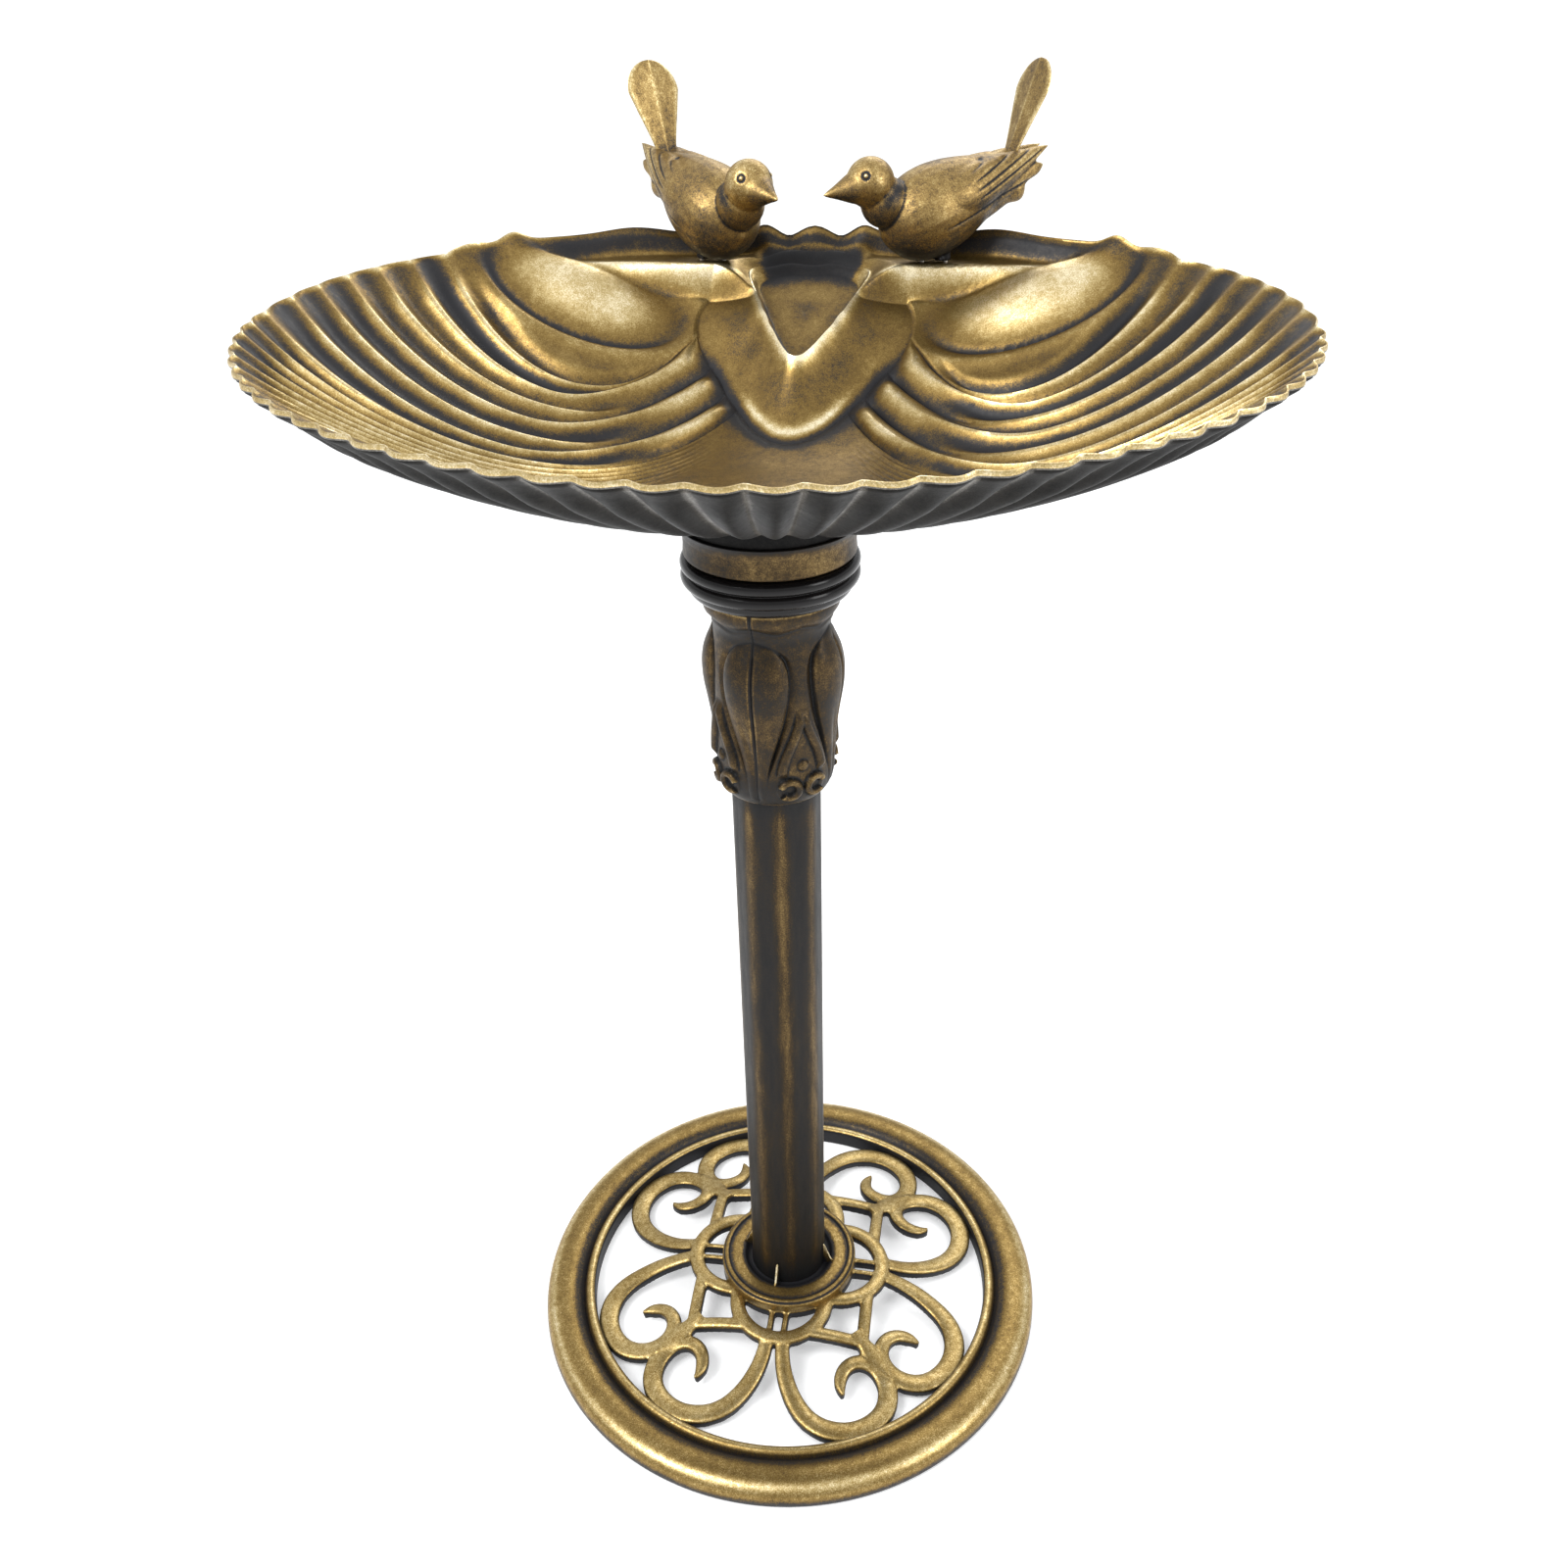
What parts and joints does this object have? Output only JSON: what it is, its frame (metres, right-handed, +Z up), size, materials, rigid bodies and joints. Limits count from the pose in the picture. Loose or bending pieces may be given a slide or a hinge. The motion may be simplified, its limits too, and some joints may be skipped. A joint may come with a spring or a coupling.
{
  "type": "bird bath",
  "caption": "Pedestal bird bath: a wide fluted shell basin with perched birds on its back ledge, a leaf capital, a round pole and an open scrollwork foot ring.",
  "frame": {"origin": "on the ground, on the pole's axis", "axes": "+Z up along the pole, the basin's front towards -Y, +X to its right seen from the front"},
  "size_m": [0.504, 0.4063, 0.7597],
  "materials": {
    "bronze": "antique bronze paint, brushed gold on the high places and black patina in the recesses",
    "dark_bronze": "dark antique bronze paint, rubbed gold on the edges",
    "dark_bronze_metal": "dark antique bronze paint, mottled",
    "black_gloss": "glossy black",
    "black_plastic": "moulded black",
    "steel": "zinc plated",
    "nylon": "natural",
    "rubber": "matt black"
  },
  "bodies": {
    "stand": {"base_grille": "bronze", "foot_flange": "bronze", "flange_screws": "steel", "foot_bolt": "steel", "foot_washer": "steel", "pole_plug": "black_plastic", "pole": "dark_bronze_metal", "spigot": "black_plastic", "capital_left": "dark_bronze", "capital_right": "dark_bronze", "capital_dowels": "steel", "neck_washer": "nylon", "neck_screw": "steel"},
    "neck": {"neck_cup": "bronze"},
    "collar": {"collar": "black_gloss"},
    "basin": {"basin": "bronze", "bird_left": "bronze", "bird_right": "bronze", "tail_left": "bronze", "tail_right": "bronze", "leg_screws": "steel", "leg_washers": "rubber"}
  },
  "joints": [
    {"name": "neck_swivel", "type": "hinge", "parent": "stand", "child": "neck", "pos_m": [0, 0, 0.551], "axis": [0, 0, 1], "continuous": true},
    {"name": "collar_turn", "type": "hinge", "parent": "neck", "child": "collar", "pos_m": [0, 0, 0.54], "axis": [0, 0, 1], "range_deg": [0, 40]},
    {"name": "basin_lift", "type": "slide", "parent": "neck", "child": "basin", "axis": [0, 0, 1], "range_m": [0, 0.15]}
  ]
}
